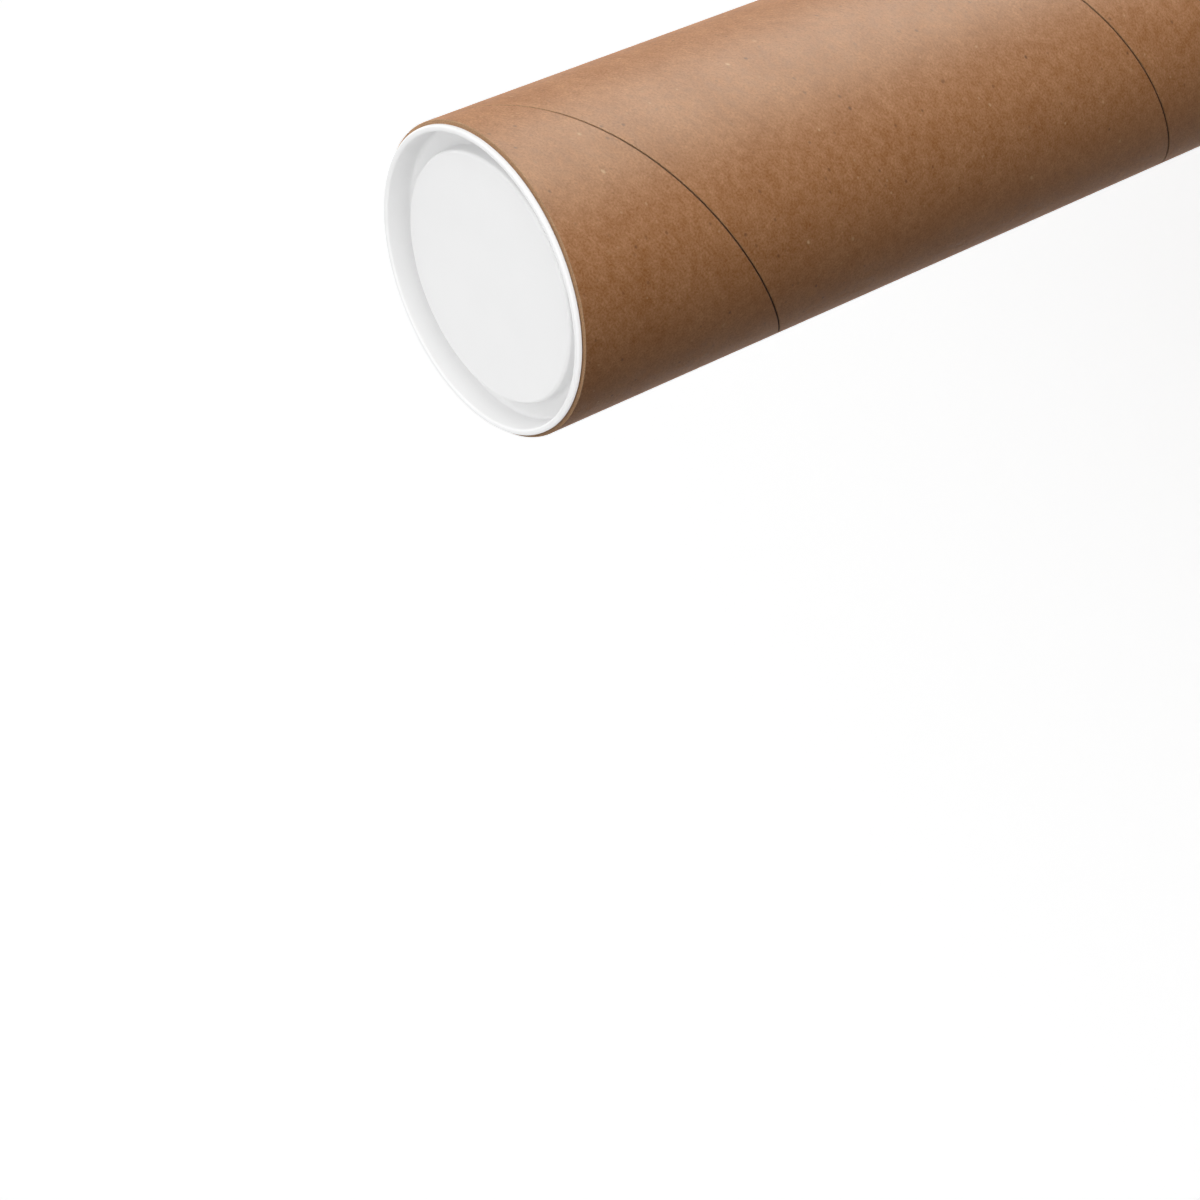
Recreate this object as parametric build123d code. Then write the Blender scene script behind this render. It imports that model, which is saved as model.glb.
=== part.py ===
from build123d import *
import os
from math import ceil, radians, tan

# A cardboard mailing tube standing on end, closed by a push-in plug at each mouth.
# The tube is spirally wound kraft board, glued into one wall. Each plug is one thin
# plastic moulding. Millimetres, +Z up along the tube. The origin is on the surface
# that the tube stands on, at the middle of the lower plug's lip.

# Tube
tube_length = 450.0
bore_diameter = 76.0
board_thickness = 1.5

# Outer ply, a strip wound round the tube with its edges butted together
winding_lead = 139.0
seam_width = 0.45
seam_depth = 0.3
seam_rise = 49.4  # from the lower cut end to where the seam crosses the +X side

# Plug, lip
lip_height = 1.3
lip_overlap = 0.55
lip_gap = 0.3  # between the lip and the cut end, since the rings grip before the lip touches
lip_round = 0.62

# Plug, skirt inside the bore
skirt_depth = 20.0
skirt_wall = 0.9
skirt_clearance = 0.15
skirt_lead_in = 3.0
skirt_lead_in_taper = 0.5

# Plug, low rings round the skirt that grip the board
ring_count = 2
ring_first_depth = 6.0
ring_pitch = 6.0
ring_width = 1.4
ring_clearance = 0.04

# Plug, channel and raised disc that can be seen in the mouth
channel_depth = 7.5
channel_round = 0.9
disc_radius = 31.6
disc_depth = 3.0
disc_edge_round = 0.35
disc_draft = 0.25
web_thickness = 1.1

# Plug, straight facets that each of its rounds is turned in
round_facets = 1

bore_radius = bore_diameter / 2
outer_radius = bore_radius + board_thickness
lower_seat = lip_height
lower_cut = lower_seat + lip_gap
upper_cut = lower_cut + tube_length
upper_seat = upper_cut + lip_gap


def seam_cutter():
    """Thin helical strip that cuts the butt joint of the outer ply."""
    turns = ceil((tube_length - seam_rise) / winding_lead) + 2
    start = lower_cut + seam_rise - winding_lead
    path = Helix(winding_lead, turns * winding_lead, outer_radius, center=(0, 0, start))
    across = Plane(origin=path @ 0, x_dir=(1, 0, 0), z_dir=path % 0)
    return sweep(across * Rectangle(2 * seam_depth, seam_width), path, is_frenet=True)


def cardboard_tube():
    """Round wall of board, open at both cut ends, with the seam of its outer ply."""
    wall = extrude(Circle(outer_radius) - Circle(bore_radius), tube_length)
    return Pos(0, 0, lower_cut) * wall - seam_cutter()


def grip_rings(skirt_radius):
    """Outline rows of the low rings, from the lip down the skirt."""
    half_width = ring_width / 2
    rows = []
    for index in range(ring_count):
        middle = -(ring_first_depth + index * ring_pitch)
        rows.append(((skirt_radius, middle + half_width), 0))
        rows.append(((bore_radius - ring_clearance, middle), 0))
        rows.append(((skirt_radius, middle - half_width), 0))
    return rows


def plug_outline():
    """Corners of half the plug's section and the round of each, from the disc's middle out over
    the lip and back under the disc, with the lip's underside at height zero."""
    skirt_radius = bore_radius - skirt_clearance
    inner_radius = skirt_radius - skirt_wall
    lip_radius = bore_radius + lip_overlap
    disc_top = lip_height - disc_depth
    floor_top = lip_height - channel_depth
    foot_radius = disc_radius + disc_draft
    seen = [
        ((0, disc_top), 0),
        ((disc_radius, disc_top), disc_edge_round),
        ((foot_radius, floor_top), 0),
        ((inner_radius, floor_top), channel_round),
        ((inner_radius, lip_height), lip_round),
        ((lip_radius, lip_height), lip_round),
        ((lip_radius, 0), 0),
        ((skirt_radius, 0), 0),
    ]
    hidden = [
        ((skirt_radius, skirt_lead_in - skirt_depth), 0),
        ((skirt_radius - skirt_lead_in_taper, -skirt_depth), 0),
        ((inner_radius, -skirt_depth), 0),
        ((inner_radius, floor_top - web_thickness), 0),
        ((foot_radius - web_thickness, floor_top - web_thickness), 0),
        ((disc_radius - web_thickness, disc_top - web_thickness), 0),
        ((0, disc_top - web_thickness), 0),
    ]
    return seen + grip_rings(skirt_radius) + hidden


def rounded_corner(before, corner, after, radius):
    """Points on the arc that rounds one corner, which the facets run between."""
    if not radius:
        return [corner]
    to_before = (before - corner).normalized()
    to_after = (after - corner).normalized()
    half_turn = 90 - to_before.get_angle(to_after) / 2
    reach = radius * tan(radians(half_turn))
    arc = TangentArc(corner + to_before * reach, corner + to_after * reach, tangent=-to_before)
    return [arc @ (step / round_facets) for step in range(round_facets + 1)]


def plug():
    """One plug with its lip's underside on Z = 0 and its skirt pointing down."""
    outline = plug_outline()
    corners = [Vector(*point) for point, _ in outline]
    points = []
    for index, (_, radius) in enumerate(outline):
        after = corners[(index + 1) % len(corners)]
        points += rounded_corner(corners[index - 1], corners[index], after, radius)
    half_section = make_face(Plane.XZ * Polyline(*points, close=True))
    return revolve(half_section, Axis.Z)


os.makedirs("parts", exist_ok=True)
closure = plug()
parts = {
    "cardboard_tube": cardboard_tube(),
    "top_plug": Pos(0, 0, upper_seat) * closure,
    "bottom_plug": Pos(0, 0, lower_seat) * Rot(180, 0, 0) * closure,
}
for node, shape in parts.items():
    export_step(shape, f"parts/{node}.step")
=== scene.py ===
import math

import bmesh
import bpy
from mathutils import Matrix, Vector


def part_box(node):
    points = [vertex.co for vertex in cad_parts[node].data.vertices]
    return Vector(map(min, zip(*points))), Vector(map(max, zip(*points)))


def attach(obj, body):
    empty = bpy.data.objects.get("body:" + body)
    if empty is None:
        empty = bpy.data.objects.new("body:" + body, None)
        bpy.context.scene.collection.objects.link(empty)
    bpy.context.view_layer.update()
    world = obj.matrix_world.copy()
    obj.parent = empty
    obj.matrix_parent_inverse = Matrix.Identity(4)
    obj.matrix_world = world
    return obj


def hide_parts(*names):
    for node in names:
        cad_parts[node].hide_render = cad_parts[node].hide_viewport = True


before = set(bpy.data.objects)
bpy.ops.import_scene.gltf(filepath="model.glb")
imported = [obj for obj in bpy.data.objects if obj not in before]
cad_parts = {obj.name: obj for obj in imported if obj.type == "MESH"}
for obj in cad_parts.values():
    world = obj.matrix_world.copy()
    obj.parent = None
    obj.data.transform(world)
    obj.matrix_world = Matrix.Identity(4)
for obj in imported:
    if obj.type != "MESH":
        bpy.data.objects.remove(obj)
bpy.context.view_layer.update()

# A cardboard mailing tube standing on end, with a push-in plug in each mouth, in metres.
# One wound wall and two moulded plugs stand for the frame's three solids.

MM = 0.001
UP = Vector((0, 0, 1))

# Tube, read from the frame where it shows there
tube_low, tube_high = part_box("cardboard_tube")
LOWER_CUT = tube_low.z
UPPER_CUT = tube_high.z
OUTER_RADIUS = tube_high.x
BOARD_THICKNESS = 1.5 * MM
BORE_RADIUS = OUTER_RADIUS - BOARD_THICKNESS
CUT_EDGE_ROUND = 0.2 * MM
ENDS = ((UPPER_CUT, 1), (LOWER_CUT, -1))  # each cut and which way is out

# Plies, strips wound round the tube and butted edge to edge; a seam's rise is from the lower
# cut to where it crosses the +X side
WINDING_LEAD = 139.0 * MM
OUTER_SEAM_RISE = 49.4 * MM
INNER_SEAM_RISE = 118.0 * MM
SEAM_WIDTH = 0.45 * MM
SEAM_DEPTH = 0.3 * MM
SEAM_EDGE_ROUND = 0.06 * MM
PLY_COUNT = 4

# Plug, its upper one read from the frame
plug_low, plug_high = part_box("top_plug")
LIP_GAP = 0.3 * MM
LIP_HEIGHT = plug_high.z - UPPER_CUT - LIP_GAP
LIP_RADIUS = plug_high.x
LIP_ROUND = 0.62 * MM
LIP_UNDER_ROUND = 0.15 * MM
SKIRT_DEPTH = UPPER_CUT + LIP_GAP - plug_low.z
SKIRT_CLEARANCE = 0.15 * MM
SKIRT_RADIUS = BORE_RADIUS - SKIRT_CLEARANCE
SKIRT_WALL = 0.9 * MM
SKIRT_LEAD_IN = 3.0 * MM
SKIRT_TAPER = 0.5 * MM
RING_CLEARANCE = 0.04 * MM
RING_RADIUS = BORE_RADIUS - RING_CLEARANCE
RING_FIRST_DEPTH = 6.0 * MM
RING_PITCH = 6.0 * MM
RING_COUNT = 2
RING_HALF_WIDTH = 0.7 * MM
RING_ROUND = 0.25 * MM
CHANNEL_DEPTH = 7.5 * MM
CHANNEL_OUTER_ROUND = 0.9 * MM
CHANNEL_INNER_ROUND = 0.8 * MM
DISC_RADIUS = 31.6 * MM
DISC_DEPTH = 3.0 * MM
DISC_EDGE_ROUND = 0.8 * MM
DISC_DRAFT = 0.25 * MM
WEB = 1.1 * MM

# Mesh, how finely the pieces are divided, and the angles past which an edge stays sharp
STEPS_PER_TURN = 240
ROWS_PER_LEAD = 24
LEADS_BELOW = 2  # wound below the lower seam crossing, to be trimmed off at the cut
PLUG_STEPS = 256
ROUND_SEGMENTS = 8
TUBE_SHARP_ANGLE = math.radians(15)
PLUG_SHARP_ANGLE = math.radians(25)
MERGE_DISTANCE = 0.001 * MM
CUT_TOLERANCE = 0.0001 * MM

# Faces of the tube, their material numbers and how they are told apart
OUTER_PLY, INNER_PLY, CUT_END, SEAM = range(4)
CUT_END_SLOPE = 0.25  # a face whose normal points further up or down than this is a cut end's
FACE_SLACK = 0.02 * MM

# Camera, from the photo: bearing round the tube, height above the horizon and turn in the frame
CAMERA_AZIMUTH = math.radians(-44.67)
CAMERA_ELEVATION = math.radians(29.74)
CAMERA_ROLL = math.radians(-115.82)
CAMERA_PLACE = Vector((-472.4 * MM, -363.9 * MM, UPPER_CUT + 346.6 * MM))
CAMERA_LENS = 86.8
SENSOR_WIDTH = 36.0

# Lamps: bearing round the tube, degrees above the horizon, share of the light at which a colour
# renders as written, and width in degrees
KEY_LAMP = (-14, 28, 0.90, 70)
GLOSS_LAMP = (10, -27, 5.4, 65)
FILL_LAMP = (90, 10, 0.45, 50)
BACK_LAMP = (135, 5, 0.5, 60)
PLUG_KEY_LAMP = (-10, 25, 0.89, 120)
PLUG_SIDE_LAMP = (-130, 10, 0.68, 180)

# Surroundings: even light as such a share, how far the floor is lifted to white where it is
# seen, and half the floor's side
AMBIENT_SHARE = 0.05
FLOOR_LIFT_SHARE = 0.49
FLOOR_REACH = 30.0

# Colours, linear
WHITE = (1, 1, 1)
KRAFT = (0.455, 0.204, 0.084)
KRAFT_PALE = (0.60, 0.36, 0.20)
KRAFT_DARK = (0.17, 0.07, 0.03)
FLECK_PALE = (0.92, 0.67, 0.39)
GREY_BOARD = (0.40, 0.24, 0.13)
GLOSS_TINT = (0.84, 0.94, 0.82)
# Seam: the raw ply's colour with painted shade of the groove in it
SEAM_PAINTED_SHADE = (0.07, 0.03, 0.014)
PLASTIC_WHITE = (0.86, 0.86, 0.86)
FLOOR_WHITE = (0.93, 0.93, 0.93)

# Noises: scale per metre, detail and roughness, and where the grain is drawn out, the scale along
# the strip as a share of the scale across it
CLOUD = (90, 2, 0.5)
PATCHES = (420, 2, 0.5, 0.8)
MOTTLE = (1700, 4, 0.7, 0.9)
GLUE_WAVES = (300, 2, 0.5)
CUT_FIBRES = (2500, 3, 0.7)
SEAM_FIBRES = (2500, 2, 0.5)
MOULD_DRIFT = (60, 2, 0.5)
MOULD_ETCH = (2200, 2, 0.5)
NOISE_RANGE = (0.3, 0.7)

# Kraft paper: how far each noise moves the tone or the roughness either way, and the relief
CLOUD_SPREAD = 0.06
PATCH_SPREAD = 0.11
MOTTLE_SPREAD = 0.235
SHEEN_SPREAD = 0.05
MOTTLE_RELIEF = 0.004 * MM

# Flecks in the paper: cells per metre, share of that along the strip, radius as a share of a
# cell, strength and colour. Each fades out at FLECK_FADE times its radius, and the power leaves
# most of them faint.
FLECKS = (
    (190, 0.6, 0.045, 0.6, FLECK_PALE),
    (330, 0.8, 0.06, 0.35, FLECK_PALE),
    (360, 0.7, 0.08, 0.85, KRAFT_DARK),
)
FLECK_FADE = 2.2
FLECK_POWER = 3

# Cut end and seam: raw board with fibres, and glue lines that start at a share of the ply's
# thickness from its middle
RAW_BOARD = {"Roughness": 0.9, "Specular_IOR_Level": 0.2}
GLUE_SWAY = 0.04 * MM
GLUE_START = 0.36
GLUE_STRENGTH = 0.6
CUT_TONES = (0.65, 1.15)
CUT_RELIEF = 0.06 * MM
SEAM_SPREAD = 0.3

# Moulded plastic
MOULD_TONES = (0.985, 1.0)
MOULD_ROUGHNESS = (0.42, 0.5)
MOULD_RELIEF = 0.004 * MM


def wire(bm, points):
    """Vertices joined in a row by edges, in the XZ plane, from (radius, height) points."""
    verts = [bm.verts.new((radius, 0, height)) for radius, height in points]
    for pair in zip(verts, verts[1:]):
        bm.edges.new(pair)
    return verts


def finished(bm, name, materials, sharp_angle):
    """Mesh object at the origin with smooth faces and sharp edges past the given angle."""
    bmesh.ops.recalc_face_normals(bm, faces=bm.faces)
    for face in bm.faces:
        face.smooth = True
    for edge in bm.edges:
        edge.smooth = edge.is_manifold and edge.calc_face_angle() < sharp_angle
    mesh = bpy.data.meshes.new(name)
    bm.to_mesh(mesh)
    bm.free()
    for material in materials:
        mesh.materials.append(material)
    piece = bpy.data.objects.new(name, mesh)
    bpy.context.scene.collection.objects.link(piece)
    piece.modifiers.new("flat_faces_stay_flat", "WEIGHTED_NORMAL").keep_sharp = True
    return piece


def winding_angle(radius):
    """Slope of a ply's seam where it lies at a radius."""
    return math.atan2(WINDING_LEAD, math.tau * radius)


def strip_section(radius, inward):
    """One strip's section with half a seam at each end, as (radius, height) points."""
    half = SEAM_WIDTH / 2 / math.cos(winding_angle(radius))
    bottom = radius + inward * SEAM_DEPTH
    shoulder = radius + inward * SEAM_EDGE_ROUND
    first = half + SEAM_EDGE_ROUND
    edge = [(bottom, 0), (bottom, half), (shoulder, half), (radius, first)]
    step = (WINDING_LEAD - 2 * first) / ROWS_PER_LEAD
    face = [(radius, first + step * row) for row in range(1, ROWS_PER_LEAD)]
    far_edge = [(reach, WINDING_LEAD - height) for reach, height in reversed(edge)]
    return edge + face + far_edge


def screw_strip(bm, radius, inward, rise):
    """Winds the strip's section round the tube from below one cut end to past the other."""
    turns = math.ceil((UPPER_CUT - LOWER_CUT - rise) / WINDING_LEAD) + LEADS_BELOW
    start = LOWER_CUT + rise - LEADS_BELOW * WINDING_LEAD
    wire(bm, [(reach, start + height) for reach, height in strip_section(radius, inward)])
    bmesh.ops.spin(
        bm, geom=list(bm.verts) + list(bm.edges), cent=(0, 0, 0), axis=UP,
        dvec=(0, 0, WINDING_LEAD / STEPS_PER_TURN), angle=math.tau, steps=STEPS_PER_TURN,
        use_merge=False, use_duplicate=False,
    )
    first_turn = list(bm.verts) + list(bm.edges) + list(bm.faces)
    for turn in range(1, turns):
        copied = bmesh.ops.duplicate(bm, geom=first_turn)["geom"]
        verts = [item for item in copied if isinstance(item, bmesh.types.BMVert)]
        bmesh.ops.translate(bm, vec=UP * WINDING_LEAD * turn, verts=verts)
    bmesh.ops.remove_doubles(bm, verts=bm.verts, dist=MERGE_DISTANCE)


def trim(bm, height, side):
    """Cuts away what lies past a level plane, above it for side 1 and below it for side -1."""
    bmesh.ops.bisect_plane(
        bm, geom=list(bm.verts) + list(bm.edges) + list(bm.faces), dist=CUT_TOLERANCE,
        plane_co=(0, 0, height), plane_no=UP * side, clear_outer=True,
    )


def rim(bm, cut):
    """Boundary edges that lie at one cut end."""
    near = 2 * CUT_EDGE_ROUND
    return [
        edge for edge in bm.edges
        if edge.is_boundary and all(abs(vert.co.z - cut) < near for vert in edge.verts)
    ]


def step_rim(bm, edges, radius, height, inward):
    """Extrudes a rim to a new radius and height, and keeps a notch that already lies past it."""
    grown = bmesh.ops.extrude_edge_only(bm, edges=edges)["geom"]
    for vert in (item for item in grown if isinstance(item, bmesh.types.BMVert)):
        across = Vector((vert.co.x, vert.co.y, 0))
        reach = min(across.length, radius) if inward < 0 else max(across.length, radius)
        vert.co = across.normalized() * reach + UP * height
    return [item for item in grown if isinstance(item, bmesh.types.BMEdge)]


def round_off(bm, radius, inward, cut, side):
    """Trims a sheet just short of a cut end and turns its edge halfway on to the cut."""
    trim(bm, cut - side * CUT_EDGE_ROUND, side)
    half = CUT_EDGE_ROUND * (1 - math.sqrt(0.5))
    return step_rim(bm, rim(bm, cut), radius + inward * half, cut - side * half, inward)


def outer_sheet():
    """The outer wall with both cut faces, up to the rounded edge of the bore."""
    bm = bmesh.new()
    screw_strip(bm, OUTER_RADIUS, -1, OUTER_SEAM_RISE)
    for cut, side in ENDS:
        edges = round_off(bm, OUTER_RADIUS, -1, cut, side)
        edges = step_rim(bm, edges, OUTER_RADIUS - CUT_EDGE_ROUND, cut, -1)
        step_rim(bm, edges, BORE_RADIUS + CUT_EDGE_ROUND, cut, -1)
    return bm


def inner_sheet():
    """The wall of the bore, up to its rounded edges."""
    bm = bmesh.new()
    screw_strip(bm, BORE_RADIUS, 1, INNER_SEAM_RISE)
    for cut, side in ENDS:
        round_off(bm, BORE_RADIUS, 1, cut, side)
    return bm


def add_sheet(bm, sheet):
    """Puts a sheet's faces into the bmesh."""
    mesh = bpy.data.meshes.new("sheet")
    sheet.to_mesh(mesh)
    sheet.free()
    bm.from_mesh(mesh)
    bpy.data.meshes.remove(mesh)


def lay_strips(bm):
    """Gives each face of the wall its strip's own map: along the strip and across it, in metres."""
    layer = bm.loops.layers.uv.new("strip")
    middle = (OUTER_RADIUS + BORE_RADIUS) / 2
    for face in bm.faces:
        centre = face.calc_center_median()
        outside = math.hypot(centre.x, centre.y) > middle
        radius = OUTER_RADIUS if outside else BORE_RADIUS
        crossing = LOWER_CUT + (OUTER_SEAM_RISE if outside else INNER_SEAM_RISE)
        winding = winding_angle(radius)
        bearing = math.atan2(centre.y, centre.x)
        turn = math.floor((centre.z - crossing) / WINDING_LEAD - bearing / math.tau)
        for loop in face.loops:
            angle = math.atan2(loop.vert.co.y, loop.vert.co.x)
            angle += math.tau * (turn + round((bearing - angle) / math.tau))
            around = radius * angle
            height = loop.vert.co.z - crossing
            along = around * math.cos(winding) + height * math.sin(winding)
            across = height * math.cos(winding) - around * math.sin(winding)
            loop[layer].uv = (along, across)


def sort_faces(bm):
    """Gives each face of the wall the material number of its ply, cut end or seam."""
    for face in bm.faces:
        radii = [math.hypot(vert.co.x, vert.co.y) for vert in face.verts]
        if abs(face.normal.z) > CUT_END_SLOPE:
            face.material_index = CUT_END
        elif min(radii) > OUTER_RADIUS - SEAM_EDGE_ROUND - FACE_SLACK:
            face.material_index = OUTER_PLY
        elif max(radii) < BORE_RADIUS + SEAM_EDGE_ROUND + FACE_SLACK:
            face.material_index = INNER_PLY
        else:
            face.material_index = SEAM


def wound_tube():
    """The board wall: outer and inner sheets with their seams, joined over both cut ends."""
    bm = outer_sheet()
    add_sheet(bm, inner_sheet())
    for cut, _ in ENDS:
        bmesh.ops.bridge_loops(bm, edges=rim(bm, cut))
    bmesh.ops.recalc_face_normals(bm, faces=bm.faces)
    bm.normal_update()
    sort_faces(bm)
    lay_strips(bm)
    materials = [outer_ply(), inner_ply(), cut_board(), seam_board()]
    return finished(bm, "wound_tube", materials, TUBE_SHARP_ANGLE)


def plug_outline():
    """Rows of (radius, height, rounding) of half a plug's section, from its axis out over the lip
    and back under the disc, with the lip's underside at height zero."""
    inner = SKIRT_RADIUS - SKIRT_WALL
    disc_top = LIP_HEIGHT - DISC_DEPTH
    floor_top = LIP_HEIGHT - CHANNEL_DEPTH
    foot = DISC_RADIUS + DISC_DRAFT
    seen = [
        (0, disc_top, 0),
        (DISC_RADIUS, disc_top, DISC_EDGE_ROUND),
        (foot, floor_top, CHANNEL_INNER_ROUND),
        (inner, floor_top, CHANNEL_OUTER_ROUND),
        (inner, LIP_HEIGHT, LIP_ROUND),
        (LIP_RADIUS, LIP_HEIGHT, LIP_ROUND),
        (LIP_RADIUS, 0, LIP_UNDER_ROUND),
        (SKIRT_RADIUS, 0, 0),
    ]
    rings = []
    for index in range(RING_COUNT):
        middle = -(RING_FIRST_DEPTH + index * RING_PITCH)
        rings.append((SKIRT_RADIUS, middle + RING_HALF_WIDTH, 0))
        rings.append((RING_RADIUS, middle, RING_ROUND))
        rings.append((SKIRT_RADIUS, middle - RING_HALF_WIDTH, 0))
    hidden = [
        (SKIRT_RADIUS, SKIRT_LEAD_IN - SKIRT_DEPTH, 0),
        (SKIRT_RADIUS - SKIRT_TAPER, -SKIRT_DEPTH, 0),
        (inner, -SKIRT_DEPTH, 0),
        (inner, floor_top - WEB, 0),
        (foot - WEB, floor_top - WEB, 0),
        (DISC_RADIUS - WEB, disc_top - WEB, 0),
        (0, disc_top - WEB, 0),
    ]
    return seen + rings + hidden


def moulded_plug(name, seat, side, plastic):
    """One plug turned from its section, lip out along side, with its underside at height seat."""
    bm = bmesh.new()
    rows = plug_outline()
    verts = wire(bm, [(radius, height) for radius, height, _ in rows])
    for vert, (_, _, rounding) in zip(verts, rows):
        if rounding:
            bmesh.ops.bevel(
                bm, geom=[vert], offset=rounding, offset_type="OFFSET", segments=ROUND_SEGMENTS,
                profile=0.5, affect="VERTICES", material=-1,
            )
    bmesh.ops.spin(
        bm, geom=list(bm.verts) + list(bm.edges), cent=(0, 0, 0), axis=UP, dvec=(0, 0, 0),
        angle=math.tau, steps=PLUG_STEPS, use_merge=True, use_duplicate=False,
    )
    bmesh.ops.remove_doubles(bm, verts=bm.verts, dist=MERGE_DISTANCE)
    bmesh.ops.transform(bm, matrix=Matrix.Scale(side, 4, UP), verts=bm.verts)
    bmesh.ops.translate(bm, vec=UP * seat, verts=bm.verts)
    return finished(bm, name, [plastic], PLUG_SHARP_ANGLE)


class Finish:
    """The nodes of a material or a world, with short ways to add, feed and join them."""

    MIX_FIRST, MIX_SECOND, MIX_RESULT = 6, 7, 2  # the Mix node's sockets for colours

    def __init__(self, owner, shader="Principled BSDF"):
        owner.use_nodes = True
        self.owner = owner
        self.tree = owner.node_tree
        self.shader = self.tree.nodes[shader]

    def feed(self, socket, value):
        """Joins another node's output to a socket, or sets a plain number or colour on it."""
        if isinstance(value, bpy.types.NodeSocket):
            self.tree.links.new(value, socket)
        elif socket.type == "RGBA":
            socket.default_value = (*value, 1)
        else:
            socket.default_value = value

    def node(self, kind, inputs, **settings):
        """Adds a node with its settings, feeds its inputs and returns its outputs."""
        node = self.tree.nodes.new(kind)
        for key, value in settings.items():
            setattr(node, key, value)
        for key, value in inputs.items():
            self.feed(node.inputs[key], value)
        return node.outputs

    def set(self, **values):
        """Feeds the shader's sockets, whose names are given with underscores for spaces."""
        for key, value in values.items():
            self.feed(self.shader.inputs[key.replace("_", " ")], value)

    def place(self, coordinate, along):
        """The object's own coordinates or its strip map, scaled along the first axis."""
        if coordinate == "strip":
            point = self.node("ShaderNodeUVMap", {}, uv_map="strip")["UV"]
        else:
            point = self.node("ShaderNodeTexCoord", {})["Object"]
        return self.node("ShaderNodeMapping", {"Vector": point, "Scale": (along, 1, 1)})["Vector"]

    def noise(self, coordinate, scale, detail, roughness, along=1):
        point = self.place(coordinate, along)
        inputs = {"Vector": point, "Scale": scale, "Detail": detail, "Roughness": roughness}
        return self.node("ShaderNodeTexNoise", inputs)["Fac"]

    def remap(self, value, start, end, at_start, at_end):
        """Goes from one number to another as the value goes from start to end."""
        ends = {"From Min": start, "From Max": end, "To Min": at_start, "To Max": at_end}
        return self.node("ShaderNodeMapRange", {"Value": value, **ends})["Result"]

    def between(self, noise, low, high):
        """A noise stretched so that it runs from low to high."""
        return self.remap(noise, *NOISE_RANGE, low, high)

    def vary(self, noise, spread):
        """A factor about 1 that follows a noise, between 1 less and 1 more the spread."""
        return self.between(noise, 1 - spread, 1 + spread)

    def maths(self, operation, *values):
        return self.node("ShaderNodeMath", dict(enumerate(values)), operation=operation)["Value"]

    def mix(self, share, first, second):
        """The first colour, with a share of the second over it."""
        inputs = {"Factor": share, self.MIX_FIRST: first, self.MIX_SECOND: second}
        return self.node("ShaderNodeMix", inputs, data_type="RGBA")[self.MIX_RESULT]

    def dim(self, colour, factor):
        """The colour times a factor that varies over the surface."""
        inputs = {0: colour, "Scale": factor}
        return self.node("ShaderNodeVectorMath", inputs, operation="SCALE")["Vector"]

    def grain(self, base, tone):
        """The base colour made paler or darker by a tone about 1, along a colour halfway to grey."""
        swing = Vector([math.sqrt(part * max(base)) for part in base])
        inputs = {0: tone, 1: swing, 2: Vector(base) - swing}
        return self.node("ShaderNodeVectorMath", inputs, operation="MULTIPLY_ADD")["Vector"]

    def fleck(self, colour, scale, along, size, strength, tint):
        """Lays small soft dots of a tint over a colour, one in each cell of the strip map."""
        cell = self.node("ShaderNodeTexVoronoi", {"Vector": self.place("strip", along), "Scale": scale})
        spot = self.remap(cell["Distance"], size, FLECK_FADE * size, strength, 0.0)
        chance = self.node("ShaderNodeSeparateColor", {"Color": cell["Color"]})["Red"]
        faint = self.maths("POWER", chance, FLECK_POWER)
        return self.mix(self.maths("MULTIPLY", spot, faint), colour, tint)

    def bump(self, height, distance):
        return self.node("ShaderNodeBump", {"Height": height, "Distance": distance})["Normal"]

    def lifted_where_seen(self, unseen, seen):
        """A strength that is higher for what the camera, a mirror or glass sees directly."""
        path = self.node("ShaderNodeLightPath", {})
        sight = self.maths("MAXIMUM", path["Is Camera Ray"], path["Is Glossy Ray"])
        sight = self.maths("MAXIMUM", sight, path["Is Transmission Ray"])
        return self.remap(sight, 0.0, 1.0, unseen, seen)


def kraft_paper(name, base, contrast, roughness):
    """Kraft paper on the strip map: cloudy tone, fine mottle, pale flecks and dark specks."""
    paper = Finish(bpy.data.materials.new(name))
    cloud = paper.noise("strip", *CLOUD)
    patches = paper.noise("strip", *PATCHES)
    mottle = paper.noise("strip", *MOTTLE)
    tone = paper.vary(cloud, CLOUD_SPREAD * contrast)
    tone = paper.maths("MULTIPLY", tone, paper.vary(patches, PATCH_SPREAD * contrast))
    tone = paper.maths("MULTIPLY", tone, paper.vary(mottle, MOTTLE_SPREAD * contrast))
    colour = paper.grain(base, tone)
    for fleck in FLECKS:
        colour = paper.fleck(colour, *fleck)
    sheen = paper.between(patches, roughness - SHEEN_SPREAD, roughness + SHEEN_SPREAD)
    paper.set(Base_Color=colour, Roughness=sheen, Normal=paper.bump(mottle, MOTTLE_RELIEF))
    return paper


def outer_ply():
    paper = kraft_paper("kraft_face", KRAFT, contrast=1.0, roughness=0.55)
    paper.set(Specular_IOR_Level=0.12, Specular_Tint=GLOSS_TINT)
    return paper.owner


def inner_ply():
    paper = kraft_paper("kraft_lining", GREY_BOARD, contrast=1.3, roughness=0.75)
    paper.set(Specular_IOR_Level=0.15)
    return paper.owner


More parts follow.
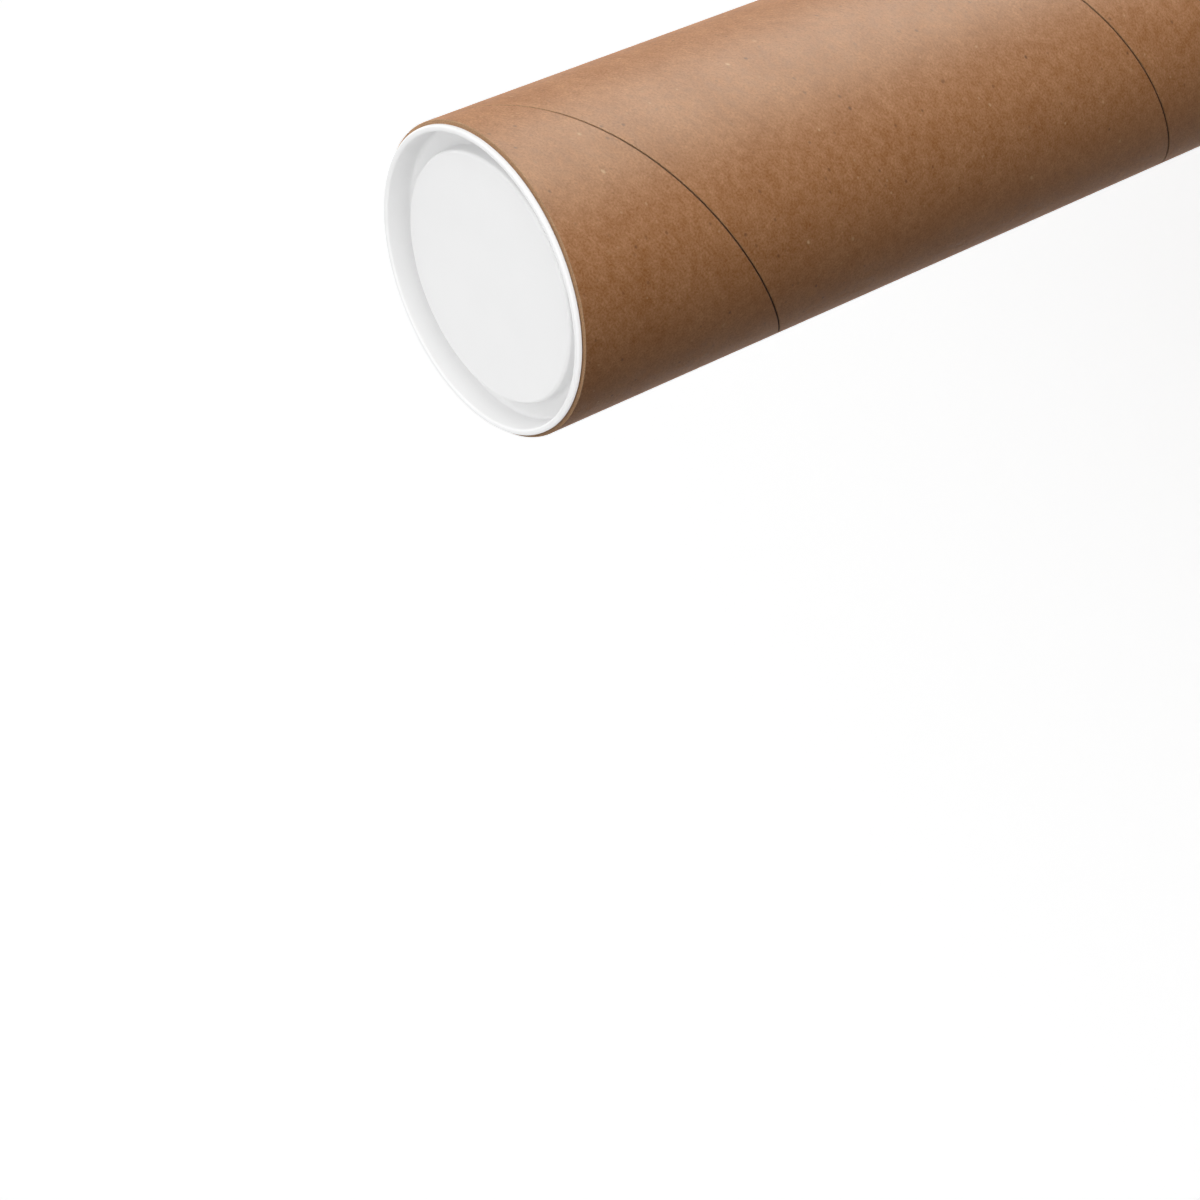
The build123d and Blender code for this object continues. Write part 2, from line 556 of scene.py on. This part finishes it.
def cut_board():
    """Cut end: plies edge on, with a thin dark glue line between each two, and loose fibres."""
    board = Finish(bpy.data.materials.new("cut_board"))
    point = board.node("ShaderNodeTexCoord", {})["Object"]
    level = board.node("ShaderNodeVectorMath", {0: point, 1: (1, 1, 0)}, operation="MULTIPLY")["Vector"]
    radius = board.node("ShaderNodeVectorMath", {0: level}, operation="LENGTH")["Value"]
    waves = board.between(board.noise("object", *GLUE_WAVES), -GLUE_SWAY, GLUE_SWAY)
    depth = board.maths("SUBTRACT", board.maths("ADD", radius, waves), BORE_RADIUS)
    ply = board.maths("FRACT", board.maths("MULTIPLY", depth, PLY_COUNT / BOARD_THICKNESS))
    offset = board.maths("ABSOLUTE", board.maths("SUBTRACT", ply, 0.5))
    glue = board.remap(offset, GLUE_START, 0.5, 0.0, GLUE_STRENGTH)
    fibres = board.noise("object", *CUT_FIBRES)
    colour = board.dim(KRAFT_PALE, board.between(fibres, *CUT_TONES))
    board.set(Base_Color=board.mix(glue, colour, KRAFT_DARK), Normal=board.bump(fibres, CUT_RELIEF))
    board.set(**RAW_BOARD)
    return board.owner


def seam_board():
    """Floor and walls of a seam: the rough, darker ply below, with painted shade of the narrow groove
    making its colour much darker still.
    """
    board = Finish(bpy.data.materials.new("seam_board"))
    fibres = board.noise("object", *SEAM_FIBRES)
    board.set(Base_Color=board.dim(SEAM_PAINTED_SHADE, board.vary(fibres, SEAM_SPREAD)), **RAW_BOARD)
    return board.owner


def moulded_plastic():
    """White polyethylene: satin, with a finely etched mould surface."""
    plastic = Finish(bpy.data.materials.new("moulded_plastic"))
    drift = plastic.between(plastic.noise("object", *MOULD_DRIFT), *MOULD_TONES)
    etch = plastic.noise("object", *MOULD_ETCH)
    plastic.set(Base_Color=plastic.dim(PLASTIC_WHITE, drift), Normal=plastic.bump(etch, MOULD_RELIEF))
    plastic.set(Roughness=plastic.between(etch, *MOULD_ROUGHNESS), Specular_IOR_Level=0.15)
    return plastic.owner


def stage_floor():
    """Pale floor that only the camera and mirrors see as lit white; it keeps the shadow."""
    bm = bmesh.new()
    bmesh.ops.create_grid(bm, x_segments=1, y_segments=1, size=FLOOR_REACH)
    mesh = bpy.data.meshes.new("floor")
    bm.to_mesh(mesh)
    bm.free()
    floor = bpy.data.objects.new("floor", mesh)
    bpy.context.scene.collection.objects.link(floor)
    surface = Finish(bpy.data.materials.new("floor"))
    surface.set(Base_Color=FLOOR_WHITE, Roughness=1.0, Specular_IOR_Level=0.0)
    lift = surface.lifted_where_seen(0.0, FLOOR_LIFT_SHARE)
    surface.set(Emission_Color=WHITE, Emission_Strength=lift)
    mesh.materials.append(surface.owner)
    floor.visible_diffuse = False
    floor.visible_shadow = False
    return floor


def sun(name, azimuth, elevation, share, width, only=()):
    """Soft distant lamp. At share 1 it lights a surface that faces it so that its colour renders
    as written. Where only names pieces, it lights just those. Returns the lamp."""
    light = bpy.data.lights.new(name, "SUN")
    light.energy = share * math.pi
    light.angle = math.radians(width)
    lamp = bpy.data.objects.new(name, light)
    around, above = math.radians(azimuth), math.radians(elevation)
    level = math.cos(above)
    toward = Vector((math.sin(around) * level, -math.cos(around) * level, math.sin(above)))
    lamp.rotation_euler = toward.to_track_quat("Z", "Y").to_euler()
    bpy.context.scene.collection.objects.link(lamp)
    if only:
        lit = bpy.data.collections.new(name + "_lit")
        for piece in only:
            lit.objects.link(piece)
        lamp.light_linking.receiver_collection = lit
    return lamp


def studio_light(floor, tube, plugs):
    """The lamps and the plain surroundings. The gloss lamp adds only sheen to the board."""
    sun("key", *KEY_LAMP, only=[floor, tube])
    sun("board_gloss", *GLOSS_LAMP, only=[tube]).visible_diffuse = False
    sun("fill", *FILL_LAMP)
    sun("back", *BACK_LAMP, only=[tube])
    sun("plug_key", *PLUG_KEY_LAMP, only=plugs)
    sun("plug_side", *PLUG_SIDE_LAMP, only=plugs)
    world = bpy.data.worlds.new("studio")
    bpy.context.scene.world = world
    backdrop = Finish(world, "Background")
    backdrop.set(Color=WHITE, Strength=backdrop.lifted_where_seen(AMBIENT_SHARE, 1.0))


def photo_camera():
    """Camera that sees the plugged end and the wall from where the photo does."""
    data = bpy.data.cameras.new("camera")
    data.lens = CAMERA_LENS
    data.sensor_width = SENSOR_WIDTH
    camera = bpy.data.objects.new("camera", data)
    turn = Matrix.Rotation(CAMERA_AZIMUTH, 4, "Z")
    tilt = Matrix.Rotation(math.pi / 2 - CAMERA_ELEVATION, 4, "X")
    roll = Matrix.Rotation(CAMERA_ROLL, 4, "Z")
    camera.matrix_world = Matrix.Translation(CAMERA_PLACE) @ turn @ tilt @ roll
    bpy.context.scene.collection.objects.link(camera)
    bpy.context.scene.camera = camera


bpy.context.scene.view_settings.view_transform = "Standard"
photo_camera()
floor = stage_floor()

tube = wound_tube()
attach(tube, "tube")
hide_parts("cardboard_tube")

plastic = moulded_plastic()
plugs = []
for plug_name, (plug_cut, plug_side) in zip(("top_plug", "bottom_plug"), ENDS):
    seat = plug_cut + plug_side * LIP_GAP
    plug = moulded_plug("moulded_" + plug_name, seat, plug_side, plastic)
    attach(plug, plug_name)
    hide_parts(plug_name)
    plugs.append(plug)
studio_light(floor, tube, plugs)
